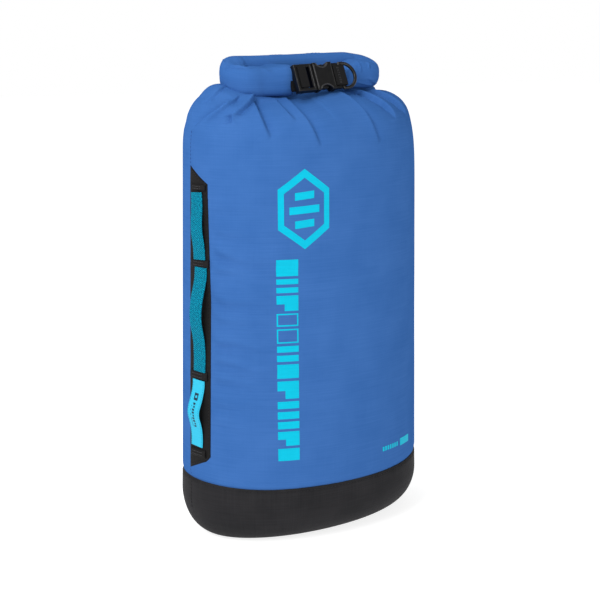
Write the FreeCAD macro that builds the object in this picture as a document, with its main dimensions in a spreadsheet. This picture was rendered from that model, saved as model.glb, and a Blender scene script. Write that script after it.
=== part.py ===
import FreeCAD, Part
import math
import os

# Roll-top dry bag, in millimetres.
# Frame: origin on the floor under the middle of the base, +Z up, +X along the long axis of
# the oval section, -Y towards the side that carries the buckle.

doc = FreeCAD.newDocument("dry_bag")
Vector = FreeCAD.Vector

# ---------------------------------------------------------------- driving dimensions
SIZES = {
    "base_half_width": 129.2,      # half of the oval's long axis, carried down to the floor
    "depth_ratio": 0.67,           # short axis over long axis
    "side_taper": 0.018667,        # narrowing of the half width for each mm of height
    "seam_height": 59.0,           # top edge of the black base band
    "fabric_wall": 1.0,
    "gap": 0.15,                   # between layers that lie on one another
    "edge_height": 42.0,           # rounded edge under the base
    "edge_inset_x": 29.0,
    "edge_inset_y": 41.0,
    "shoulder_start": 378.0,
    "shoulder_top": 430.0,
    "neck_half_width": 88.0,
    "neck_half_depth": 15.0,
    "tape_wall": 0.4,
    "side_tape_width": 22.0,
    "base_tape_width": 18.0,
    "roll_left": -63.7,
    "roll_right": 59.2,
    "roll_centre_y": 9.1,
    "roll_centre_z": 448.4,
    "roll_half_flat": 4.0,         # half of the straight part between the half turns
    "roll_core_radius": 3.4,
    "roll_outer_radius": 11.4,
    "roll_wall": 3.0,
    "strip_wall": 1.0,
    "strip_width": 9.6,
    "bend_radius": 25.0,           # ends of the roll, folded to the front
    "left_bend_x": 64.0,
    "right_bend_x": 59.5,
    "bend_centre_y": -3.0,
    "front_layer": 23.0,
    "left_bottom": 430.2,
    "left_top": 455.0,
    "left_front_end": -34.0,
    "right_bottom": 430.4,
    "right_top": 458.0,
    "right_front_end": 26.0,
    "patch_wall": 0.8,
    "patch_width": 29.0,
    "strap_wall": 1.4,
    "strap_width": 15.5,
    "strap_tilt": 15.5,            # strap faces look this far round from the oval's end
    "buckle_x": -5.5,
    "buckle_y": -36.3,
    "buckle_z": 442.8,
    "buckle_lean": 23.0,           # its top leans back on the roll
    "buckle_tilt": 2.5,            # and its right end is a little higher
    "buckle_half_height": 13.5,
    "buckle_half_depth": 4.6,
    "cavity_half_depth": 2.6,
    "prong_half_depth": 2.2,
    "female_start": -5.0,
    "female_end": 24.0,
    "male_start": -26.0,
    "window_radius": 7.0,
    "ring_leg_x": 27.2,
    "ring_wire": 1.65,
    "ring_half_height": 12.2,
    "ring_straight": 3.2,
    "ring_clearance": 0.3,
    "tab_half_height": 9.8,
    "tab_half_depth": 3.6,
    "edge_round": 1.0,
}
SLICES = 8                         # sections in each rounded edge


def make_sheet():
    """Write the driving dimensions to a spreadsheet, one alias to a row."""
    sheet = doc.addObject("Spreadsheet::Sheet", "Sizes")
    for row, (alias, value) in enumerate(SIZES.items(), start=1):
        sheet.set(f"A{row}", alias)
        sheet.set(f"B{row}", str(value))
        sheet.setAlias(f"B{row}", alias)
    doc.recompute()
    return sheet


sheet = make_sheet()
nodes = []


def size(alias):
    """A driving dimension's value, for shapes that are worked out here."""
    return float(sheet.get(alias))


def keep(item, name):
    """Give a finished sub-part its label, which is its node's name."""
    item.Label = name
    nodes.append(item)
    return item


def bind(item, formulas):
    """Bind an object's properties to formulas of the sheet."""
    for prop, formula in formulas.items():
        item.setExpression(prop, str(formula))
    return item


def box(name, x, y, z):
    """Box between two formulas on each axis."""
    item = doc.addObject("Part::Box", name)
    for side, base, (low, high) in (("Length", "x", x), ("Width", "y", y), ("Height", "z", z)):
        bind(item, {side: f"({high}) - ({low})", f"Placement.Base.{base}": low})
    return item


def cylinder(name, radius, height, x=0, y=0, z=0, turn=None):
    """Cylinder whose axis starts at x, y, z; turn is a rotation of its +Z axis."""
    item = doc.addObject("Part::Cylinder", name)
    if turn:
        item.Placement.Rotation = turn
    return bind(item, {"Radius": radius, "Height": height, "Placement.Base.x": x,
                       "Placement.Base.y": y, "Placement.Base.z": z})


def cut(name, base, *tools):
    """Base less one tool or several."""
    item = doc.addObject("Part::Cut", name)
    item.Base = base
    item.Tool = tools[0] if len(tools) == 1 else fuse(name + "_tools", *tools)
    return item


def fuse(name, *shapes):
    """Union of several shapes."""
    item = doc.addObject("Part::MultiFuse", name)
    item.Shapes = list(shapes)
    item.Refine = True
    return item


def common(name, *shapes):
    """What several shapes share."""
    item = doc.addObject("Part::MultiCommon", name)
    item.Shapes = list(shapes)
    return item


def rounded(name, base, picks, radius):
    """Base with the edges that picks(edge) accepts rounded off."""
    doc.recompute()
    item = doc.addObject("Part::Fillet", name)
    item.Base = base
    edges = [i for i, edge in enumerate(base.Shape.Edges, start=1) if picks(edge)]
    item.Edges = [(i, size(radius), size(radius)) for i in edges]
    return item


def extrusion(name, outline, direction, length):
    """Solid made by moving a flat closed outline along a direction."""
    profile = doc.addObject("Part::Feature", name + "_outline")
    profile.Shape = outline
    item = doc.addObject("Part::Extrusion", name)
    item.Base = profile
    item.DirMode = "Custom"
    item.Dir = direction
    item.Solid = True
    return bind(item, {"LengthFwd": length})


def polygon(points):
    """Closed wire through points."""
    return Part.makePolygon([Vector(*p) for p in points] + [Vector(*points[0])])


# ---------------------------------------------------------------- the bag's oval skin
def side_width(height):
    return f"Sizes.base_half_width - Sizes.side_taper * ({height})"


def oval(name, half_width, half_depth, height):
    """One oval section of the bag at a height."""
    item = doc.addObject("Part::Ellipse", name)
    return bind(item, {"MajorRadius": half_width, "MinorRadius": half_depth,
                       "Placement.Base.z": height})


def side_oval(name, height, grow="0", lower="0"):
    """Section of the straight side, grown outwards and lowered by two formulas."""
    wide = side_width(height)
    return oval(name, f"{wide} + ({grow})", f"({wide}) * Sizes.depth_ratio + ({grow})",
                f"({height}) - ({lower})")


def skin(name, sections):
    item = doc.addObject("Part::Loft", name)
    item.Sections = sections
    item.Solid = True
    item.Ruled = True
    return item


def side_block(name, low, high, grow):
    """Oval block with the straight side's shape, grown outwards."""
    return skin(name, [side_oval(name + "_low", low, grow), side_oval(name + "_high", high, grow)])


def shoulder_sections(name, grow):
    """Sections that draw the bag in from its full oval to the flat neck."""
    sections = []
    wide = side_width("Sizes.shoulder_start")
    for step in range(SLICES + 1):
        angle = math.radians(90 * step / SLICES)
        rise = math.sin(angle) ** 0.8
        spread = math.cos(angle) ** 0.8
        x = f"Sizes.neck_half_width + ({wide} - Sizes.neck_half_width) * {spread:.4f}"
        y = (f"Sizes.neck_half_depth + (({wide}) * Sizes.depth_ratio - Sizes.neck_half_depth)"
             f" * {spread:.4f}")
        z = f"Sizes.shoulder_start + (Sizes.shoulder_top - Sizes.shoulder_start) * {rise:.4f}"
        sections.append(oval(f"{name}_{step}", f"{x} + ({grow})", f"{y} + ({grow})",
                             f"{z} + ({grow}) * {rise:.4f}"))
    return sections


def base_sections(name, wall):
    """Sections of the rounded edge under the base, set in by a wall."""
    sections = []
    wide = side_width("Sizes.edge_height")
    for step in range(SLICES + 1):
        angle = math.radians(90 * step / SLICES)
        out = math.sin(angle)
        down = math.cos(angle)
        x = f"{wide} - Sizes.edge_inset_x * {1 - out:.4f} - ({wall}) * {out:.4f}"
        y = (f"({wide}) * Sizes.depth_ratio - Sizes.edge_inset_y * {1 - out:.4f}"
             f" - ({wall}) * {out:.4f}")
        z = f"Sizes.edge_height * {1 - down:.4f} + ({wall}) * {down:.4f}"
        sections.append(oval(f"{name}_{step}", x, y, z))
    return sections


WALL = "Sizes.fabric_wall"
SEAM = "Sizes.seam_height"


def make_body_panel():
    """The blue fabric tube with its drawn-in shoulders, open at the neck and at the base."""
    outer = skin("body_outer", [side_oval("body_outer_low", SEAM)]
                 + shoulder_sections("body_outer", "0"))
    low = side_oval("body_inner_low", f"{SEAM} - 1", f"-{WALL}")
    inner = skin("body_inner", [low] + shoulder_sections("body_inner", f"-{WALL}"))
    mouth = doc.addObject("Part::Ellipse", "body_mouth")
    bind(mouth, {"MajorRadius": f"Sizes.neck_half_width - {WALL}",
                 "MinorRadius": f"Sizes.neck_half_depth - {WALL}",
                 "Placement.Base.z": f"Sizes.shoulder_top - 2 * {WALL}"})
    neck = doc.addObject("Part::Extrusion", "body_neck")
    neck.Base = mouth
    neck.DirMode = "Custom"
    neck.Dir = Vector(0, 0, 1)
    neck.Solid = True
    bind(neck, {"LengthFwd": f"4 * {WALL}"})
    keep(cut("body_panel_shell", outer, inner, neck), "body_panel")


def make_base():
    """The black lower band, its rounded edge, and the flat oval panel that it stands on."""
    outer = skin("base_outer", base_sections("base_outer", "0") + [side_oval("base_top", SEAM)])
    top = side_oval("base_inner_top", f"{SEAM} + 1", f"-{WALL}")
    inner = skin("base_inner", base_sections("base_inner", WALL) + [top])
    bowl = cut("base_bowl", outer, inner)
    wide = side_width("Sizes.edge_height")

    def footprint(name, bottom, height):
        rim = oval(name + "_rim", f"{wide} - Sizes.edge_inset_x",
                   f"({wide}) * Sizes.depth_ratio - Sizes.edge_inset_y", bottom)
        item = doc.addObject("Part::Extrusion", name)
        item.Base = rim
        item.DirMode = "Custom"
        item.Dir = Vector(0, 0, 1)
        item.Solid = True
        return bind(item, {"LengthFwd": height})

    keep(cut("base_band_shell", bowl, footprint("base_hole", "-1", f"{WALL} + 2")), "base_band")
    keep(footprint("base_oval", "0", WALL), "base_panel")


def make_seam_tapes():
    """Waterproof tapes welded inside the side seams and the base seam."""
    outer_set = f"-({WALL} + Sizes.gap)"
    inner_set = f"-({WALL} + Sizes.gap + Sizes.tape_wall)"
    low, high = f"{SEAM} + Sizes.base_tape_width / 2 + 1", "Sizes.shoulder_start - 2"
    half = "Sizes.side_tape_width / 2"
    for side, x in (("left", ("-200", "0")), ("right", ("0", "200"))):
        block = side_block(f"{side}_tape_block", low, high, outer_set)
        core = side_block(f"{side}_tape_core", low, high, inner_set)
        sheet_piece = cut(f"{side}_tape_sheet", block, core)
        window = box(f"{side}_tape_window", x, (f"-{half}", half), (low, high))
        keep(common(f"{side}_tape", sheet_piece, window), f"side_seam_tape_{side}")
    low = f"{SEAM} - Sizes.base_tape_width / 2"
    high = f"{SEAM} + Sizes.base_tape_width / 2"
    block = side_block("base_tape_block", low, high, outer_set)
    core = side_block("base_tape_core", low, high, inner_set)
    keep(cut("base_tape", block, core), "base_seam_tape")


# ---------------------------------------------------------------- the rolled collar
def spiral_outline():
    """Flattened spiral of the rolled collar, in the YZ plane, with its tail at the back."""
    turns = 5
    y_mid, z_mid = size("roll_centre_y"), size("roll_centre_z")
    flat, half = size("roll_half_flat"), size("roll_wall") / 2
    first, last = size("roll_core_radius"), size("roll_outer_radius")
    step = (last - first) / (turns - 1)
    tail = size("shoulder_top") + 2 * size("gap")

    def edge(offset):
        """Points and half turns of one face of the rolled sheet."""
        parts = []
        here = None
        for turn in range(turns):
            radius = first + step * turn + offset
            top = turn % 2 == 0
            centre = y_mid if top else y_mid - step
            z = z_mid + flat if top else z_mid - flat
            way = 1 if top else -1
            start = Vector(0, centre - way * radius, z)
            middle = Vector(0, centre, z + way * radius)
            end = Vector(0, centre + way * radius, z)
            if here:
                parts.append(Part.makeLine(here, start))
            parts.append(Part.Arc(start, middle, end).toShape())
            here = end
        bottom = Vector(0, here.y, tail)
        parts.append(Part.makeLine(here, bottom))
        return parts, bottom

    outer, outer_end = edge(half)
    inner, inner_end = edge(-half)
    core = size("roll_core_radius")
    caps = [Part.makeLine(outer_end, inner_end),
            Part.makeLine(Vector(0, y_mid - core + half, z_mid + flat),
                          Vector(0, y_mid - core - half, z_mid + flat))]
    return Part.Wire(Part.__sortEdges__(outer + inner + caps))


def make_rolled_collar():
    """The bag's mouth, rolled down on itself, with the stiffening strips of its lip inside."""
    roll = extrusion("roll", spiral_outline(), Vector(1, 0, 0), "Sizes.roll_right - Sizes.roll_left")
    bind(roll, {"Placement.Base.x": "Sizes.roll_left"})
    keep(roll, "rolled_collar")
    x = ("Sizes.roll_left + 1", "Sizes.roll_right - 1")
    z = ("Sizes.roll_centre_z - Sizes.strip_width / 2",
         "Sizes.roll_centre_z + Sizes.strip_width / 2")
    front = ("Sizes.roll_centre_y - Sizes.gap / 2 - Sizes.strip_wall",
             "Sizes.roll_centre_y - Sizes.gap / 2")
    back = ("Sizes.roll_centre_y + Sizes.gap / 2",
            "Sizes.roll_centre_y + Sizes.gap / 2 + Sizes.strip_wall")
    keep(box("strip_front", x, front, z), "lip_stiffener_front")
    keep(box("strip_back", x, back, z), "lip_stiffener_back")


def make_collar_end(side, way):
    """End of the roll: it bends round to the front and runs in towards the buckle."""
    low, high = f"Sizes.{side}_bottom", f"Sizes.{side}_top"
    centre = f"{way} * Sizes.{side}_bend_x"
    bend = cylinder(f"{side}_bend", "Sizes.bend_radius", f"{high} - {low}",
                    centre, "Sizes.bend_centre_y", low)
    bind(bend, {"Angle": 180})
    bend.Placement.Rotation = FreeCAD.Rotation(Vector(0, 0, 1), -way * 90)
    ends = [centre, f"Sizes.{side}_front_end"]
    if way > 0:
        ends.reverse()
    front = "Sizes.bend_centre_y - Sizes.bend_radius"
    slab = box(f"{side}_slab", ends, (front, f"{front} + Sizes.front_layer"), (low, high))
    keep(fuse(f"{side}_end", bend, slab), f"collar_end_{side}")


# ---------------------------------------------------------------- lash strips
def make_lash_patch(side, turn):
    """Black patch sewn into the side seam: a band of the oval with slanting ends."""
    block = side_block(f"{side}_patch_block", "62", "372", "Sizes.gap + Sizes.patch_wall")
    core = side_block(f"{side}_patch_core", "61", "373", "Sizes.gap")
    width = size("patch_width")
    outline = polygon([(-160, 0.5, 72), (-160, -width, 84), (-160, -width, 340),
                       (-160, -width + 5, 348), (-160, 0.5, 364)])
    window = extrusion(f"{side}_patch_window", outline, Vector(1, 0, 0), "100")
    shell = cut(f"{side}_patch_shell", block, core)
    item = common(f"{side}_patch", shell, window)
    item.Placement.Rotation = turn
    keep(item, f"lash_patch_{side}")


def strap_outline(bottom, top, bulge, peak):
    """Side view of one strap: flat on the patch at both ends, standing off at its peak."""
    lift = size("gap") * 4 + size("patch_wall")
    wall = size("strap_wall")
    end = 7.0

    def face(offset):
        points = [Vector(lift + offset, 0, bottom), Vector(lift + offset, 0, bottom + end)]
        if bulge:
            points.append(Vector(lift + offset + bulge, 0, peak))
        points += [Vector(lift + offset, 0, top - end), Vector(lift + offset, 0, top)]
        return points

    under, over = face(0), face(wall)
    edges = []
    for points in (under, over):
        edges.append(Part.makeLine(points[0], points[1]))
        if bulge:
            edges.append(Part.Arc(points[1], points[2], points[3]).toShape())
        else:
            edges.append(Part.makeLine(points[1], points[2]))
        edges.append(Part.makeLine(points[-2], points[-1]))
    edges += [Part.makeLine(under[0], over[0]), Part.makeLine(under[-1], over[-1])]
    return Part.Wire(Part.__sortEdges__(edges))


# Each strap: node name, lower and upper end, how far it stands off, and where.
STRAPS = (
    ("upper_lash_loop", 276.0, 341.0, 2.2, 308.0),
    ("middle_lash_loop", 169.0, 271.5, 6.5, 236.0),
    ("label_loop", 95.0, 163.0, 6.3, 134.0),
)
STRAP_CENTRE_Y = -15.5
TACK_HEIGHTS = (344.5, 273.7, 166.2, 91.0)


def end_surface(height, y):
    """X of the oval's left end at a height and a distance towards the front."""
    wide = size("base_half_width") - size("side_taper") * height
    return -wide * math.sqrt(1 - (y / (wide * size("depth_ratio"))) ** 2)


def strap_place(height_low, height_high):
    """Placement that lays a strap's side view on the oval's left end."""
    low = end_surface(height_low, STRAP_CENTRE_Y)
    high = end_surface(height_high, STRAP_CENTRE_Y)
    rake = math.degrees(math.atan2(high - low, height_high - height_low))
    face_out = FreeCAD.Rotation(Vector(0, 0, 1), 180 + size("strap_tilt"))
    lean = FreeCAD.Rotation(Vector(0, 1, 0), rake)
    foot = low - (high - low) * height_low / (height_high - height_low)
    return FreeCAD.Placement(Vector(foot, STRAP_CENTRE_Y, 0), lean * face_out)


def make_lash_straps(side, turn):
    """Webbing loops on a patch, and the bar tacks that hold their ends down."""
    width = "Sizes.strap_width"
    place = strap_place(80.0, 350.0)
    around = FreeCAD.Placement(Vector(0, 0, 0), turn)
    middle = FreeCAD.Placement(Vector(0, -size("strap_width") / 2, 0), FreeCAD.Rotation())
    for name, low, high, bulge, peak in STRAPS:
        strap = extrusion(f"{side}_{name}", strap_outline(low, high, bulge, peak),
                          Vector(0, 1, 0), width)
        strap.Placement = around * place * middle
        if name == "label_loop" and side == "right":
            name = "lower_lash_loop"
        keep(strap, f"{name}_{side}")
    lift = size("gap") * 4 + size("patch_wall")
    bars = []
    for number, height in enumerate(TACK_HEIGHTS):
        bar = box(f"{side}_tack_{number}", (lift, lift + size("strap_wall")),
                  (f"-{width} / 2 - 2", f"{width} / 2 + 2"), (height - 1.6, height + 1.6))
        bars.append(bar)
    group = fuse(f"{side}_tacks", *bars)
    group.Placement = around * place
    keep(group, f"bar_tack_strips_{side}")


# ---------------------------------------------------------------- the side-release buckle
# Pieces are drawn flat: x along the bag, z up the buckle's face, -y out of its face.
def buckle_place():
    lean = FreeCAD.Rotation(Vector(1, 0, 0), -size("buckle_lean"))
    tilt = FreeCAD.Rotation(Vector(0, 1, 0), -size("buckle_tilt"))
    return FreeCAD.Placement(Vector(size("buckle_x"), size("buckle_y"), size("buckle_z")),
                             tilt * lean)


def on_buckle(item, name):
    """Put a flat-drawn piece on the leaning buckle and keep it."""
    item.Placement = buckle_place().multiply(item.Placement)
    return keep(item, name)


def flat_box(name, x, z, depth):
    """Box on the buckle's face, centred on its mid plane."""
    return box(name, x, (f"-({depth})", depth), z)


def arch(name, centre_x, z, depth):
    """Round cutter through the buckle's thickness."""
    turn = FreeCAD.Rotation(Vector(1, 0, 0), -90)
    return cylinder(name, "Sizes.window_radius", f"2 * ({depth})", centre_x, f"-({depth})",
                    z, turn)


def make_female_body():
    """Moulded receiver: a flat sleeve with an arched window above and below, and a crossbar."""
    tall, deep = "Sizes.buckle_half_height", "Sizes.buckle_half_depth"
    sleeve = flat_box("female_sleeve", ("Sizes.female_start", "16"), (f"-{tall}", tall), deep)
    sleeve = rounded("female_round", sleeve, lambda e: e.Length > 20, "edge_round")
    bar_frame = flat_box("female_frame", ("14", "Sizes.female_end"), ("-12.6", "12.6"), "1.9")
    body = fuse("female_blank", sleeve, bar_frame)
    cavity = flat_box("female_cavity", ("Sizes.female_start - 1", "12.5"), ("-9.6", "9.6"),
                      "Sizes.cavity_half_depth")
    window = flat_box("female_window", ("-0.5", "10.6"), (f"-{tall} - 1", f"{tall} + 1"),
                      "Sizes.cavity_half_depth")
    upper = arch("female_arch_upper", "5", f"{tall} + 2.5", "Sizes.buckle_half_depth + 1")
    lower = arch("female_arch_lower", "5", f"-{tall} - 2.5", "Sizes.buckle_half_depth + 1")
    slot = flat_box("female_slot", ("16.6", "20.4"), ("-10.2", "10.2"), deep)
    on_buckle(cut("female", body, cavity, window, upper, lower, slot), "buckle_female_body")


def make_male_frame():
    """Moulded plug: an outer bar and a webbing bar joined by side rails, and the guide tongue."""
    deep = "Sizes.buckle_half_depth"
    plate = flat_box("male_plate", ("Sizes.male_start", "Sizes.female_start - 0.4"),
                     ("-13.2", "13.2"), f"{deep} - 0.8")
    plate = rounded("male_round", plate, lambda e: e.Length > 20, "edge_round")
    gap = flat_box("male_tab_gap", ("-23.1", "-20.3"), ("-10.4", "10.4"), f"{deep} + 1")
    slot = flat_box("male_slot", ("-15.2", "-9.2"), ("-10.4", "10.4"), f"{deep} + 1")
    tongue = flat_box("male_tongue", ("Sizes.female_start - 1", "10"), ("-1.8", "1.8"), "1.8")
    frame = cut("male_ladder", plate, gap, slot)
    on_buckle(fuse("male", frame, tongue), "buckle_male_frame")


def make_prong(name, way):
    """Springy side arm of the plug, with the pad that is squeezed to release it."""
    corners = [(-5.35, 6.2), (2.0, 6.2), (9.8, 5.8), (9.8, 7.6), (8.8, 11.0), (6.0, 12.0),
               (2.0, 11.6), (0.2, 10.8), (0.2, 8.2), (-5.35, 8.2)]
    outline = polygon([(x, 0, way * z) for x, z in corners])
    prong = extrusion(name, outline, Vector(0, 1, 0), "2 * Sizes.prong_half_depth")
    prong.Placement.Base = Vector(0, -size("prong_half_depth"), 0)
    on_buckle(prong, f"buckle_prong_{name}")


def make_male_tab():
    """Folded fabric tab from the left end of the roll round the plug's webbing bar."""
    fold = flat_box("male_tab_fold", ("-22.8", "-14.0"), ("-9.8", "9.8"), "5.0")
    bar = flat_box("male_tab_bar", ("-20.3", "-15.2"), ("-11", "11"), "3.8")
    tail = box("male_tab_tail", ("-27.8", "-21"), ("3.9", "6.9"), ("-9.8", "9.8"))
    on_buckle(fuse("male_tab", cut("male_tab_wrap", fold, bar), tail), "buckle_tab_left")


def make_female_tab():
    """Folded fabric tab that holds the receiver's crossbar and the straight leg of the ring."""
    tall, deep = "Sizes.tab_half_height", "Sizes.tab_half_depth"
    fold = flat_box("female_tab_fold", ("17.4", "Sizes.ring_leg_x + 3.4"), (f"-{tall}", tall),
                    deep)
    fold = rounded("female_tab_round", fold,
                   lambda e: e.Length > 15 and e.BoundBox.ZLength > 15, "edge_round")
    bar = flat_box("female_tab_bar", ("20.3", "Sizes.female_end + 0.1"), ("-20", "20"), "2")
    leg = cylinder("female_tab_leg", "Sizes.ring_wire + Sizes.ring_clearance", "40",
                   "Sizes.ring_leg_x", "0", "-20")
    tail = box("female_tab_tail", ("25", "30.9"), (f"{deep} - 0.5", "8.6"), (f"-{tall}", tall))
    on_buckle(fuse("female_tab", cut("female_tab_wrap", fold, bar, leg), tail),
              "buckle_tab_right")


def make_d_ring():
    """Moulded D-ring: a straight leg in the tab, two short sides and a round bow."""
    wire, half, leg = "Sizes.ring_wire", "Sizes.ring_half_height", "Sizes.ring_leg_x"
    bow = doc.addObject("Part::Torus", "ring_bow")
    bow.Placement.Rotation = FreeCAD.Rotation(Vector(1, 0, 0), 90)
    bind(bow, {"Radius1": half, "Radius2": wire, "Angle3": 180,
               "Placement.Base.x": f"{leg} + Sizes.ring_straight"})
    bow.Placement.Rotation = FreeCAD.Rotation(Vector(0, 1, 0), 90) * bow.Placement.Rotation
    upright = cylinder("ring_leg", wire, f"2 * {half}", leg, "0", f"-{half}")
    parts = [bow, upright]
    along = FreeCAD.Rotation(Vector(0, 1, 0), 90)
    for end, sign in (("top", ""), ("bottom", "-")):
        parts.append(cylinder(f"ring_side_{end}", wire, "Sizes.ring_straight", leg, "0",
                              f"{sign}{half}", along))
        corner = doc.addObject("Part::Sphere", f"ring_corner_{end}")
        parts.append(bind(corner, {"Radius": wire, "Placement.Base.x": leg,
                                   "Placement.Base.z": f"{sign}{half}"}))
    on_buckle(fuse("ring", *parts), "d_ring")


# ---------------------------------------------------------------- build and write
make_body_panel()
make_base()
make_seam_tapes()
make_rolled_collar()
make_collar_end("left", -1)
make_collar_end("right", 1)
for strip_side, half_turn in (("left", 0), ("right", 180)):
    turned = FreeCAD.Rotation(Vector(0, 0, 1), half_turn)
    make_lash_patch(strip_side, turned)
    make_lash_straps(strip_side, turned)
make_female_body()
make_male_frame()
make_prong("upper", 1)
make_prong("lower", -1)
make_male_tab()
make_female_tab()
make_d_ring()
doc.recompute()

for item in doc.Objects:
    if "Invalid" in item.State or "Error" in item.State:
        raise RuntimeError(f"{item.Name} did not build: {item.State}")
os.makedirs("parts", exist_ok=True)
for node in nodes:
    shape = node.Shape
    if shape.isNull() or not shape.isValid() or not shape.Solids:
        raise RuntimeError(f"{node.Label} has no valid solid")
    shape.exportStep(os.path.join("parts", f"{node.Label}.step"))
    span = shape.BoundBox
    print(f"{node.Label:24s} solids {len(shape.Solids)} volume {shape.Volume:10.0f}"
          f"  x {span.XMin:7.1f} {span.XMax:7.1f}  y {span.YMin:6.1f} {span.YMax:6.1f}"
          f"  z {span.ZMin:6.1f} {span.ZMax:6.1f}")
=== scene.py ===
import math
import bmesh
import bpy
import numpy as np
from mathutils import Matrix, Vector


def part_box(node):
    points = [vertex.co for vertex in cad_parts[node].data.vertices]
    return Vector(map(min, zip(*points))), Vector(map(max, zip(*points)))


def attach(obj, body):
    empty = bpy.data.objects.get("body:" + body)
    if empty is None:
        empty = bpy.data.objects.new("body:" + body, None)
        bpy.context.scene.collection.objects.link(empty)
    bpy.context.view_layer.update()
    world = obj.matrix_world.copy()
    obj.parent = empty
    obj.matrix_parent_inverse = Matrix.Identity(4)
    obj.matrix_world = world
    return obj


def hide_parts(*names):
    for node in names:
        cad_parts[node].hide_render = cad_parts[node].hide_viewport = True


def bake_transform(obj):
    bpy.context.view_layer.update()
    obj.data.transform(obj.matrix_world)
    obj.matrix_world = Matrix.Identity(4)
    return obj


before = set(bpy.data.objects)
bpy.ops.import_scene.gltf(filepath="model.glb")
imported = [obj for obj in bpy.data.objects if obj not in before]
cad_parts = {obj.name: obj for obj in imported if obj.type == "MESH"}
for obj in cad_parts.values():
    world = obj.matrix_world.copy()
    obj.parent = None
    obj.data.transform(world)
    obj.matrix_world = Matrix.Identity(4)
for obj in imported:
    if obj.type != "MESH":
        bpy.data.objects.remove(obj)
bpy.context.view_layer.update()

# The looks of a roll-top dry bag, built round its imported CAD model. Blender's unit is the metre;
# the shapes below are worked out in millimetres and scaled when a mesh is made.
MM = 0.001
BAG = "bag"
PLUG = "plug"


def span(node):
    """A CAD node's lowest and highest corners, in millimetres."""
    low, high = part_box(node)
    return np.array(low) / MM, np.array(high) / MM


# ---------------------------------------------------------------- materials
def srgb(red, green, blue):
    """Linear colour of an 8-bit sRGB one."""
    def linear(value):
        value /= 255
        return value / 12.92 if value <= 0.04045 else ((value + 0.055) / 1.055) ** 2.4
    return (linear(red), linear(green), linear(blue), 1.0)


class Nodes:
    """Small helper that builds a node tree."""

    def __init__(self, tree):
        self.tree = tree

    def add(self, kind, **values):
        node = self.tree.nodes.new(kind)
        for key, value in values.items():
            if hasattr(node, key):
                setattr(node, key, value)
            else:
                node.inputs[key.replace("_", " ")].default_value = value
        return node

    def link(self, source, target):
        self.tree.links.new(source, target)
        return target

    def math(self, operation, first, second=0.0):
        node = self.add("ShaderNodeMath", operation=operation)
        for socket, value in zip(node.inputs, (first, second)):
            if isinstance(value, (int, float)):
                socket.default_value = value
            else:
                self.link(value, socket)
        return node.outputs[0]

    def noise(self, vector, scale, detail=3.0, stretch=None):
        """Noise on a vector, which may be stretched along its axes first."""
        if stretch:
            mapping = self.add("ShaderNodeMapping")
            mapping.inputs["Scale"].default_value = stretch
            self.link(vector, mapping.inputs["Vector"])
            vector = mapping.outputs[0]
        node = self.add("ShaderNodeTexNoise", Scale=scale, Detail=detail)
        self.link(vector, node.inputs["Vector"])
        return node.outputs["Fac"]


class Material(Nodes):
    """A new material's node tree and its shader."""

    def __init__(self, name, rough, **sockets):
        self.material = bpy.data.materials.new(name)
        self.material.use_nodes = True
        super().__init__(self.material.node_tree)
        self.shader = self.tree.nodes["Principled BSDF"]
        self.shader.inputs["Roughness"].default_value = rough
        for key, value in sockets.items():
            self.shader.inputs[key.replace("_", " ")].default_value = value

    def colour(self, factor, dark, light, low=0.35, high=0.65):
        ramp = self.add("ShaderNodeValToRGB")
        ramp.color_ramp.elements[0].color = dark
        ramp.color_ramp.elements[1].color = light
        ramp.color_ramp.elements[0].position = low
        ramp.color_ramp.elements[1].position = high
        self.link(factor, ramp.inputs[0])
        self.link(ramp.outputs[0], self.shader.inputs["Base Color"])

    def bump(self, height, distance, strength=1.0, under=None):
        node = self.add("ShaderNodeBump", Strength=strength, Distance=distance)
        self.link(height, node.inputs["Height"])
        if under:
            self.link(under, node.inputs["Normal"])
        self.link(node.outputs[0], self.shader.inputs["Normal"])
        return node.outputs[0]

    def cloth_vector(self):
        """The cloth's own coordinates in millimetres, from the piece's map."""
        return self.add("ShaderNodeUVMap", uv_map="cloth_mm").outputs[0]

    def object_vector(self):
        """The piece's place in millimetres."""
        scale = self.add("ShaderNodeVectorMath", operation="SCALE")
        self.link(self.add("ShaderNodeTexCoord").outputs["Object"], scale.inputs[0])
        scale.inputs["Scale"].default_value = 1 / MM
        return scale.outputs[0]

    def weave(self, vector, pitch_across, pitch_along):
        """Height of a plain weave: product of two waves."""
        split = self.add("ShaderNodeSeparateXYZ")
        self.link(vector, split.inputs[0])
        across = self.math("SINE", self.math("MULTIPLY", split.outputs[0], math.tau / pitch_across))
        along = self.math("SINE", self.math("MULTIPLY", split.outputs[1], math.tau / pitch_along))
        return self.math("MULTIPLY", across, along)


def cloth_material(name, dark, light, rough, pitch, relief, weft_share=0.75, sheen=0.0,
                   shine=0.25):
    """Woven cloth: thread relief, fine streaks along the threads and a soft change of tone."""
    n = Material(name, rough, Sheen_Weight=sheen, Sheen_Roughness=0.4, Specular_IOR_Level=shine)
    vector = n.cloth_vector()
    weft = n.noise(vector, 1.0, 2.0, (0.02, 0.9, 1.0))
    warp = n.noise(vector, 1.0, 2.0, (0.9, 0.02, 1.0))
    tone = n.noise(vector, 0.03, 3.0)
    threads = n.math("ADD", n.math("MULTIPLY", weft, weft_share),
                     n.math("MULTIPLY", warp, 1 - weft_share))
    mixed = n.math("ADD", n.math("MULTIPLY", threads, 0.55), n.math("MULTIPLY", tone, 0.45))
    n.colour(mixed, dark, light, 0.36, 0.64)
    rub = n.math("ADD", rough - 0.05, n.math("MULTIPLY", tone, 0.1))
    n.link(rub, n.shader.inputs["Roughness"])
    base = n.bump(threads, relief * MM * 2, 0.5)
    n.bump(n.weave(vector, pitch, pitch), relief * MM, 0.7, base)
    return n.material


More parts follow.
